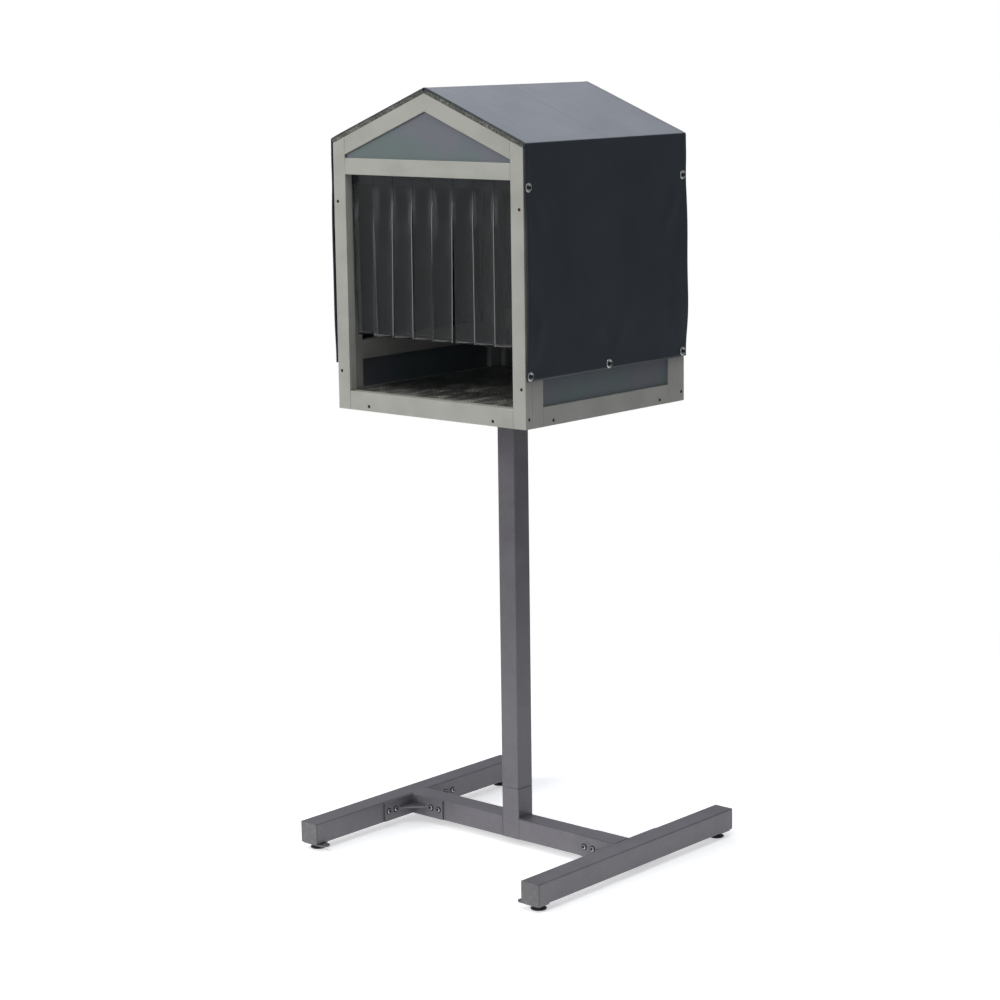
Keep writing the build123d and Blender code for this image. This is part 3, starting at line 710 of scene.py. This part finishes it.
foot = {
    "rib": 0.5 * mm, "ribs": 24, "high": 7 * mm, "stud": 5 * mm,
    "pitch": 1.5 * mm, "thread": 0.45 * mm, "rowsPerTurn": 4, "segments": 24,
}
for end in ("front", "rear"):
    for side in sides:
        body = f"foot_{end}_{side}"
        low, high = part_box(body)
        middle = (low + high) / 2
        place = Matrix.Translation((middle.x, middle.y, 0))
        padRadius = (high.x - low.x) / 2
        padHigh, studRadius = foot["high"], foot["stud"]
        def ribbed(angle, radius=padRadius):
            return radius - foot["rib"] * (0.5 + 0.5 * math.cos(foot["ribs"] * angle))
        bm = bmesh.new()
        addTurned(bm, [
            (padRadius - 3 * mm, 0), (padRadius - 1.2 * mm, 0.3 * mm), (ribbed, 1.2 * mm), (ribbed, 3.2 * mm),
            (padRadius - 1.4 * mm, 4.1 * mm), (padRadius - 5 * mm, 5.1 * mm),
            (studRadius * 2.2, padHigh - 0.5 * mm), (studRadius * 2, padHigh), (studRadius, padHigh),
        ], place, 96)
        finishPiece(bm, f"{body}_pad", footPlastic, body, 50, [body])
        bm = bmesh.new()
        perTurn, segments = foot["rowsPerTurn"], foot["segments"]
        count = int((high.z - padHigh) / foot["pitch"] * perTurn)
        rows = []
        for row in range(count + 1):
            height = padHigh - 1 * mm + row * foot["pitch"] / perTurn
            ring = []
            for step in range(segments):
                phase = (row / perTurn + step / segments) % 1
                radius = studRadius - foot["thread"] * abs(2 * phase - 1)
                angle = -2 * math.pi * step / segments
                spot = Vector((radius * math.cos(angle), radius * math.sin(angle), height))
                ring.append(bm.verts.new(place @ spot))
            rows.append(ring)
        joinRings(bm, rows)
        bm.faces.new(rows[0])
        bm.faces.new(rows[-1])
        finishPiece(bm, f"{body}_stud", zincPlate, body, 80, ())
print("fasteners and feet made")

# Cover pegs and eyelets

eyelet = {"outer": 13.0 * mm, "bore": 6.5 * mm, "flange": 0.8 * mm, "back": 11 * mm, "wall": 0.7 * mm}
peg = {"base": 9 * mm, "baseHigh": 2 * mm, "stem": 3.2 * mm, "dome": 5.9 * mm, "domeHigh": 3.6 * mm}
bm = bmesh.new()
for low, high, group in islands("cover_pegs"):
    outward = 1 if low.x > 0 else -1
    middle = (low + high) / 2
    inner, outer = (low.x, high.x) if outward > 0 else (high.x, low.x)
    tall = abs(outer - inner)
    place = Matrix.Translation((inner, middle.y, middle.z)) @ Matrix.Rotation(outward * math.pi / 2, 4, "Y")
    dome = [
        (peg["dome"] * math.cos(a), tall - peg["domeHigh"] * (1 - math.sin(a)))
        for a in (math.radians(t) for t in (0, 18, 36, 54, 70, 84))
    ]
    addTurned(bm, [
        (peg["base"], 0), (peg["base"], peg["baseHigh"] * 0.7), (peg["base"] - 0.8 * mm, peg["baseHigh"]),
        (peg["stem"] + 0.6 * mm, peg["baseHigh"]), (peg["stem"], peg["baseHigh"] + 0.8 * mm),
        (peg["stem"], tall - peg["domeHigh"] - 1 * mm),
        (peg["dome"] - 0.5 * mm, tall - peg["domeHigh"] - 0.4 * mm), *dome,
    ], place, 32)
finishPiece(bm, "coverPegs", pegPlastic, rootBody, 40, ["cover_pegs"])

for side, sign in sides.items():
    bm = bmesh.new()
    for low, high, group in islands(f"cover_eyelets_{side}"):
        middle = (low + high) / 2
        inner = low.x if sign > 0 else high.x
        tall = high.x - low.x
        place = Matrix.Translation((inner, middle.y, middle.z)) @ Matrix.Rotation(sign * math.pi / 2, 4, "Y")
        flat = tall - eyelet["flange"] - 0.8 * mm
        rounded = [
            (eyelet["outer"] - (eyelet["outer"] - eyelet["bore"]) * t,
             flat + (tall - flat) * math.sin(math.pi * min(1, t * 1.02)) ** 0.6)
            for t in (0.0, 0.08, 0.2, 0.35, 0.5, 0.65, 0.8, 0.92, 1.0)
        ]
        back, barrel = eyelet["back"], eyelet["bore"] + eyelet["wall"]
        ring = [
            (eyelet["bore"], 0), (back, 0), (back, eyelet["flange"]),
            (barrel, eyelet["flange"]), (barrel, flat), *rounded,
        ]
        segments = 48
        loops = []
        for radius, height in ring:
            loops.append([
                bm.verts.new(place @ Vector((radius * math.cos(a), radius * math.sin(a), height)))
                for a in (2 * math.pi * s / segments for s in range(segments))
            ])
        joinRings(bm, loops, True)
    finishPiece(
        bm, f"coverEyelets_{side}", chromePlate, f"flap_{side}", 50,
        [f"cover_eyelets_{side}"],
    )
print("pegs and eyelets made")


# Weld beads on the stand

weld = {"radius": 2.6 * mm, "ripple": 4.2 * mm, "step": 1.4 * mm, "inset": 4 * mm, "sides": 12}


def addBead(bm, start, end, seed):
    start, end = Vector(start), Vector(end)
    way = (end - start).normalized()
    acrossWay = way.orthogonal().normalized()
    upWay = way.cross(acrossWay)
    count = max(4, int((end - start).length / weld["step"]))
    rings = []
    for index in range(count + 1):
        along = index / count
        centre = start.lerp(end, along)
        phase = (along * (end - start).length / weld["ripple"]) % 1
        swell = 0.78 + 0.22 * math.sqrt(max(0.0, 1 - (2 * phase - 1) ** 2))
        wander = 0.12 * noise.noise(Vector((seed * 7.3, along * 9, 0)))
        taper = min(1.0, min(index, count - index) / 2 + 0.35)
        radius = weld["radius"] * (swell + wander) * taper
        rings.append([
            bm.verts.new(centre + radius * (math.cos(a) * acrossWay + math.sin(a) * upWay))
            for a in (2 * math.pi * s / weld["sides"] for s in range(weld["sides"]))
        ])
    joinRings(bm, rings)
    bm.faces.new(reversed(rings[0]))
    bm.faces.new(rings[-1])


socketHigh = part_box("post_socket")[1]
barLow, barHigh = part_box("crossbar_right")
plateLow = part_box("post_top_plate")[0]
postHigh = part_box("post")[1]
bm = bmesh.new()
inset = weld["inset"]
for sign in (-1, 1):
    edgeX = sign * socketHigh.x
    topLine = barHigh.z
    addBead(bm, (edgeX, -socketHigh.y + inset, topLine), (edgeX, socketHigh.y - inset, topLine), sign)
    for face in (-1, 1):
        faceY = face * (socketHigh.y - 1.2 * mm)
        addBead(bm, (edgeX, faceY, barLow.z + inset), (edgeX, faceY, topLine - inset), sign + 3 * face)
        sideX, sideY, under = sign * postHigh.x, face * postHigh.y, plateLow.z
        addBead(bm, (sideX, -postHigh.y + inset, under), (sideX, postHigh.y - inset, under), 5)
        addBead(bm, (-postHigh.x + inset, sideY, under), (postHigh.x - inset, sideY, under), 8)
finishPiece(bm, "standWelds", powderCoat, rootBody, 60, ())
print("welds made")


# The cover: two coated sheets that meet at the ridge, each draped over one slope and down one side

cover = {
    "thickness": 1.1 * mm,
    "hemThickness": 2.0 * mm,
    "hemWidth": 20 * mm,
    "cell": 7 * mm,
    "eaveRadius": 5 * mm,
    "lift": 0.7 * mm,  # stands this far off the boards
    "ridgeOverlap": 0.25 * mm,  # each sheet passes the ridge by this, so that no gap shows
    "bulge": {"left": 4 * mm, "right": 6 * mm},  # how far a side may stand out between the pegs
    "edgeFlare": {"left": 1.5 * mm, "right": 4 * mm},
    "pegReach": 75 * mm,
    "creases": (-0.254, 0.010),  # packing folds across the roof, along Y
    "creaseHeight": 0.7 * mm,
    "creaseWidth": 3.0 * mm,
    "holeRadius": 7.4 * mm,
}
# Pulled folds on a side: from (y, height) to (y, height), and how far each stands up.
# Heights are above the hem.
pulledFolds = (
    (0.334, 0.022, 0.262, 0.235, 4.5 * mm),
    (0.336, 0.030, 0.300, 0.330, 3.0 * mm),
    (0.334, 0.515, 0.225, 0.330, 3.0 * mm),
    (-0.334, 0.022, -0.285, 0.215, 3.5 * mm),
    (-0.334, 0.515, -0.270, 0.380, 2.5 * mm),
    (0.012, 0.022, 0.075, 0.150, 2.0 * mm),
    (-0.012, 0.022, -0.085, 0.140, 2.0 * mm),
)

flapLow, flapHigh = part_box("cover_flap_right")
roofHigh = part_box("cover_roof")[1]
flapMiddle = (flapLow.x + flapHigh.x) / 2
hemZ = flapLow.z
normal = Vector((math.sin(roofTilt), math.cos(roofTilt)))
downSlope = Vector((math.cos(roofTilt), -math.sin(roofTilt)))
ridgePoint = Vector((0.0, roofHigh.z - 0.75 * mm + cover["lift"]))


def coverPath():
    # Cross-section of the right sheet as points (x, z) and outward directions, from the ridge to the hem.
    corner = (flapMiddle - ridgePoint.x) / downSlope.x
    turn = math.pi / 2 - roofTilt
    back = cover["eaveRadius"] * math.tan(turn / 2)
    slopeLength = corner - back
    steps = between(-cover["ridgeOverlap"], slopeLength, round(slopeLength / cover["cell"]))
    points = [(ridgePoint + downSlope * s, normal) for s in steps]
    centre = points[-1][0] - normal * cover["eaveRadius"]
    for share in between(0.0, 1.0, 6)[1:]:
        angle = math.pi / 2 - roofTilt - turn * share
        outward = Vector((math.cos(angle), math.sin(angle)))
        points.append((centre + outward * cover["eaveRadius"], outward))
    top = points[-1][0]
    drop = top.y - hemZ
    rows = round(drop / cover["cell"])
    heights = between(0.0, drop, rows)[1:]
    points += [(Vector((top.x, top.y - h)), Vector((1.0, 0.0))) for h in heights]
    return points


def foldHeight(y, height):
    total = 0.0
    for y0, h0, y1, h1, rise in pulledFolds:
        way = Vector((y1 - y0, h1 - h0))
        away = Vector((y - y0, height - h0))
        along = away.dot(way) / way.length_squared
        off = abs(away.x * way.y - away.y * way.x) / way.length
        width = 0.010 + 0.022 * max(0.0, along)  # a pulled fold opens out as it leaves its peg
        fade = smooth(0.0, 0.12, along) * (1 - smooth(0.55, 1.0, along))
        total += rise * fade * math.exp(-(off / width) ** 2)
    return total


def sideOffset(side, y, z, halfDepth, seed, pegs):
    # How far the hanging side stands out from its plane.
    height = z - hemZ
    hold = 1.0
    for pegY, pegZ in pegs:
        away = math.hypot(y - pegY, z - pegZ)
        hold *= 1 - math.exp(-(away / cover["pegReach"]) ** 2)
    tight = smooth(0.0, 0.16, eaveZ - z)
    slow = 0.5 + 0.5 * noise.noise(Vector((y * 4.3 + seed, height * 2.4, seed * 1.7)))
    ripple = noise.noise(Vector((y * 11 + seed, height * 3.1, seed)))
    edge = min(halfDepth - abs(y), 0.09) / 0.09
    uneven = 0.6 + 0.8 * abs(noise.noise(Vector((height * 6, seed, y))))
    flare = (1 - smooth(0.0, 1.0, edge)) * cover["edgeFlare"][side] * uneven
    body = cover["bulge"][side] * slow + 1.2 * mm * ripple
    return max(0.0, hold * tight * (body + flare)) + foldHeight(y, height) * hold


def makeCover(side, sign):
    rings = islands(f"cover_eyelets_{side}")
    pegs = [(((low + high) / 2).y, ((low + high) / 2).z) for low, high, group in rings]
    path = coverPath()
    run = [0.0]
    for (before, _), (after, _) in zip(path, path[1:]):
        run.append(run[-1] + (after - before).length)
    halfDepth = flapHigh.y
    hem = cover["hemWidth"]
    rows = between(-halfDepth + hem, halfDepth - hem, round((2 * halfDepth - 2 * hem) / cover["cell"]))
    edgeRows = (0.0, 0.5 * hem, hem - 0.8 * mm)
    columns = [-halfDepth + e for e in edgeRows] + rows + [halfDepth - e for e in reversed(edgeRows)]
    bm = bmesh.new()
    flatLayer = bm.loops.layers.uv.new("flat")
    seed = 3.1 if sign > 0 else 11.7
    grid, flatPlace = [], {}
    for index, (point, outward) in enumerate(path):
        line = []
        for y in columns:
            if point.y <= eaveZ:
                off = sideOffset(side, y, point.y, halfDepth, seed, pegs)
            else:
                crease = sum(math.exp(-((y - c) / cover["creaseWidth"]) ** 2) for c in cover["creases"])
                soft = 0.8 * mm * (0.5 + 0.5 * noise.noise(Vector((y * 6 + seed, run[index] * 5, 2.0))))
                level = smooth(0.0, 0.03, run[index]) * smooth(0.0, 0.03, roofRun - run[index])
                off = (cover["creaseHeight"] * crease + soft) * level
            x, z = point.x + outward.x * off, point.y + outward.y * off
            vert = bm.verts.new((sign * x, y, z))
            flatPlace[vert] = (y + halfDepth, run[index])
            line.append(vert)
        grid.append(line)
    for upper, lower in zip(grid, grid[1:]):
        for step in range(len(columns) - 1):
            bm.faces.new((upper[step], upper[step + 1], lower[step + 1], lower[step]))
    for face in bm.faces:
        for loop in face.loops:
            loop[flatLayer].uv = flatPlace[loop.vert]
    # Round holes where the eyelets go
    def nearest(vert):
        return min(pegs, key=lambda p: math.hypot(vert.co.y - p[0], vert.co.z - p[1]))
    gone = []
    for face in bm.faces:
        middle = face.calc_center_median()
        reach = min(math.hypot(middle.y - py, middle.z - pz) for py, pz in pegs)
        if middle.z < eaveZ and reach < cover["holeRadius"]:
            gone.append(face)
    bmesh.ops.delete(bm, geom=gone, context="FACES")
    for vert in bm.verts:
        pegY, pegZ = nearest(vert)
        away = Vector((vert.co.y - pegY, vert.co.z - pegZ))
        inside = abs(vert.co.y) < halfDepth - 1 * mm and vert.co.z > hemZ + 1 * mm
        if vert.is_boundary and inside and away.length < 2 * cover["holeRadius"]:
            away *= cover["holeRadius"] / away.length
            vert.co.y, vert.co.z = pegY + away.x, pegZ + away.y
    replaced = [f"cover_flap_{side}", "cover_roof"]
    piece = finishPiece(bm, f"cover_{side}", coverFabric, None, 180, replaced)
    group = piece.vertex_groups.new(name="hem")
    length = run[-1]
    hemShare = cover["thickness"] / cover["hemThickness"]
    for vert in piece.data.vertices:
        fromHem = vert.co.z - hemZ if vert.co.z < eaveZ else 1.0
        inEdge = min(halfDepth - abs(vert.co.y), fromHem) < hem - 1.5 * mm
        group.add([vert.index], 1.0 if inEdge else 0.0, "REPLACE")
    thicken = piece.modifiers.new("thickness", "SOLIDIFY")
    thicken.thickness = cover["hemThickness"]
    thicken.offset = 0.0
    thicken.vertex_group = "hem"
    thicken.thickness_vertex_group = hemShare
    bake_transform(piece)
    return length


eaveZ = flapHigh.z
slopeEnd = coverPath()
roofRun = sum((b[0] - a[0]).length for a, b in zip(slopeEnd, slopeEnd[1:]) if b[0].y > eaveZ)
for side, sign in sides.items():
    coverLength = makeCover(side, sign)
    print("cover", side, "flat", round(2 * flapHigh.y, 4), "by", round(coverLength, 4))
print("cover made")


# The strip curtain: eight clear strips slit from one sheet

curtain = {
    "thickness": 1.9 * mm,
    "columns": 16,
    "headRows": 6,
    "rows": 46,
    "cupStart": 4 * mm,  # below the clamp
    "cupFull": 110 * mm,
    # Each strip: its hollow and forward hang in mm, its twist in degrees, its side shift in mm
    "strips": (
        (4.5, -6.0, 3.5, 3.0), (6.0, 6.0, 3.0, -1.0), (6.0, 4.0, -2.0, 2.0), (5.0, 2.0, -1.0, 0.5),
        (6.0, 5.0, 1.0, -2.5), (5.0, -1.0, -1.5, 0.8), (5.5, 0.0, -1.0, 0.0), (4.5, 2.0, -1.0, 0.0),
    ),
}
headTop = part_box("curtain_head")[1].z


def makeStrip(number, hollow, forward, twist, shift):
    # One strip with its share of the clamped head, as a single sheet.
    name = f"curtain_strip_{number}"
    low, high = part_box(name)
    middle = (low + high) / 2
    halfWidth = (high.x - low.x) / 2
    fold, bottom = high.z, low.z
    falls = [(row / curtain["rows"]) ** 1.25 for row in range(curtain["rows"] + 1)]
    heights = between(headTop, fold, curtain["headRows"])[:-1]
    heights += [fold + (bottom - fold) * share for share in falls]  # closer rows near the fold
    bm = bmesh.new()
    flatLayer = bm.loops.layers.uv.new("flat")
    acrossLayer = bm.loops.layers.uv.new("across")
    grid, flatPlace = [], {}
    for z in heights:
        below = max(0.0, fold - z)
        grow = smooth(curtain["cupStart"], curtain["cupFull"], below)
        sway = below / (fold - bottom)
        turn = math.radians(twist) * grow
        line = []
        for column in range(curtain["columns"] + 1):
            u = 2 * column / curtain["columns"] - 1
            u = math.copysign(1 - (1 - abs(u)) ** 1.3, u)  # closer columns near the cut edges
            dip = hollow * mm * (u * u - 0.35) * grow
            wave = 0.5 * mm * noise.noise(Vector((number * 5.0, u * 1.5, z * 7))) * grow
            y = -dip - forward * mm * sway ** 1.2 + wave
            x = u * halfWidth * (1 - 0.012 * grow)
            place = Vector((x * math.cos(turn) - y * math.sin(turn), x * math.sin(turn) + y * math.cos(turn)))
            vert = bm.verts.new((middle.x + place.x + shift * mm * sway, middle.y + place.y, z))
            flatPlace[vert] = ((middle.x + u * halfWidth, z), (u, z))
            line.append(vert)
        grid.append(line)
    for upper, lower in zip(grid, grid[1:]):
        for step in range(curtain["columns"]):
            face = bm.faces.new((upper[step], upper[step + 1], lower[step + 1], lower[step]))
            for loop in face.loops:
                loop[flatLayer].uv, loop[acrossLayer].uv = flatPlace[loop.vert]
    piece = finishPiece(bm, f"clearStrip_{number}", clearPvc, None, 180, [name, "curtain_head"])
    thicken = piece.modifiers.new("thickness", "SOLIDIFY")
    thicken.thickness = curtain["thickness"]
    thicken.offset = 0.0
    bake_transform(piece)


for number, facts in enumerate(curtain["strips"], 1):
    makeStrip(number, *facts)
print("curtain made")


# Floor, light and camera

studio = {
    "floor": "#F4F4F6",
    "floorSize": 60.0,
    "floorDrop": 0.0005,  # just under the feet, so that the two surfaces never coincide
    "floorNear": 1.3,  # beyond this the floor fades into the white backdrop
    "floorFar": 3.2,
    "floorGlow": 0.47,
    "worldTint": "#F4F7FF",
    "worldBright": 0.62,  # the open side of the room, front left
    "worldDark": 0.23,  # the closed side, rear right
    "openSide": (-0.65, -0.74, 0.18),
    "azimuth": 41.33,
    "elevation": 10.45,
    "roll": -0.78,
    "distance": 7.5176,
    "lens": 92.02,
    "aim": (-0.0541, 0.0013, 1.0360),
}


def makeFloor():
    bm = bmesh.new()
    bmesh.ops.create_grid(bm, x_segments=2, y_segments=2, size=studio["floorSize"] / 2)
    mesh = bpy.data.meshes.new("studioFloor")
    bm.to_mesh(mesh)
    bm.free()
    floor = bpy.data.objects.new("studioFloor", mesh)
    bpy.context.scene.collection.objects.link(floor)
    floor.location.z = -studio["floorDrop"]
    material, tree = startMaterial("paintedStudioFloor")
    # White board under even light; it glows a little so that only contact shadows show.
    place = addNode(tree, "ShaderNodeTexCoord").outputs["Object"]
    dust = addNode(tree, "ShaderNodeTexNoise", {"Vector": place, "Scale": 3.0, "Detail": 4.0})
    tone = addNode(
        tree, "ShaderNodeValToRGB", {0: dust.outputs[0]},
        ramp=[(0.3, linear("#ECECEE")), (0.7, linear(studio["floor"]))],
    )
    near = addNode(tree, "ShaderNodeBsdfPrincipled", {
        "Base Color": tone.outputs[0], "Roughness": 0.9,
        "Emission Color": (1.0, 1.0, 1.0, 1.0), "Emission Strength": studio["floorGlow"],
    })
    rays = addNode(tree, "ShaderNodeLightPath")
    backdrop = addNode(tree, "ShaderNodeEmission", {"Color": (1.0, 1.0, 1.0, 1.0), "Strength": 1.0})
    unlit = addNode(
        tree, "ShaderNodeEmission", {"Color": (1.0, 1.0, 1.0, 1.0), "Strength": studio["worldDark"]}
    )
    either = {0: rays.outputs["Is Camera Ray"], 1: unlit.outputs[0], 2: backdrop.outputs[0]}
    far = addNode(tree, "ShaderNodeMixShader", either)
    away = addNode(tree, "ShaderNodeVectorMath", {0: place}, operation="LENGTH")
    fade = addNode(
        tree, "ShaderNodeMapRange", {0: away.outputs["Value"], 1: studio["floorNear"], 2: studio["floorFar"]}
    )
    surface = addNode(
        tree, "ShaderNodeMixShader", {0: fade.outputs[0], 1: near.outputs[0], 2: far.outputs[0]}
    )
    addNode(tree, "ShaderNodeOutputMaterial", {"Surface": surface.outputs[0]})
    mesh.materials.append(material)


def makeWorld():
    world = bpy.data.worlds.new("studio")
    world.use_nodes = True
    tree = world.node_tree
    tree.nodes.clear()
    rays = addNode(tree, "ShaderNodeLightPath")
    seen = addNode(tree, "ShaderNodeBackground", {0: (1, 1, 1, 1), 1: 1.0})
    direction = addNode(tree, "ShaderNodeTexCoord").outputs["Generated"]
    openness = addNode(
        tree, "ShaderNodeVectorMath", {0: direction, 1: studio["openSide"]}, operation="DOT_PRODUCT"
    )
    level = addNode(tree, "ShaderNodeMapRange", {
        0: openness.outputs["Value"], 1: -0.5, 2: 0.9, 3: studio["worldDark"], 4: studio["worldBright"],
    })
    lit = addNode(tree, "ShaderNodeBackground", {0: linear(studio["worldTint"]), 1: level.outputs[0]})
    mix = addNode(
        tree, "ShaderNodeMixShader", {0: rays.outputs["Is Camera Ray"], 1: lit.outputs[0], 2: seen.outputs[0]}
    )
    addNode(tree, "ShaderNodeOutputWorld", {"Surface": mix.outputs[0]})
    bpy.context.scene.world = world


softboxes = (
    # name, place, what it faces, width, height, power, colour
    ("keySoftbox", (-4.2, -4.6, 2.9), (0, 0, 1.4), 2.6, 2.6, 230, "#FFFCF7"),
    ("roofSoftbox", (-1.6, 3.4, 5.0), (0.1, 0, 1.9), 3.4, 3.0, 52, "#EFF3FF"),
    ("topSoftbox", (0.8, -1.2, 5.2), (0, 0, 0), 3.0, 3.0, 105, "#FDFFF8"),
)


def makeLights():
    for name, place, facing, width, height, power, colour in softboxes:
        light = bpy.data.lights.new(name, "AREA")
        light.shape = "RECTANGLE"
        light.size, light.size_y = width, height
        light.energy = power
        light.color = linear(colour)[:3]
        lamp = bpy.data.objects.new(name, light)
        lamp.location = place
        lamp.rotation_euler = (Vector(facing) - Vector(place)).to_track_quat("-Z", "Y").to_euler()
        if name == "keySoftbox":  # flagged off, or it mirrors in the flat clear strips
            lamp.visible_glossy = lamp.visible_transmission = False
        bpy.context.scene.collection.objects.link(lamp)


def makeCamera():
    a, e = math.radians(studio["azimuth"]), math.radians(studio["elevation"])
    back = Vector((math.sin(a) * math.cos(e), -math.cos(a) * math.cos(e), math.sin(e)))
    camera = bpy.data.objects.new("camera", bpy.data.cameras.new("camera"))
    roll = Matrix.Rotation(math.radians(studio["roll"]), 4, "Z")
    turn = (-back).to_track_quat("-Z", "Y").to_matrix().to_4x4() @ roll
    camera.matrix_world = Matrix.Translation(Vector(studio["aim"]) + back * studio["distance"]) @ turn
    camera.data.sensor_width = 36.0
    camera.data.lens = studio["lens"]
    camera.data.clip_end = 100.0
    bpy.context.scene.collection.objects.link(camera)
    bpy.context.scene.camera = camera


makeFloor()
makeWorld()
makeLights()
makeCamera()
bpy.context.scene.view_settings.view_transform = "Standard"
print("studio set")
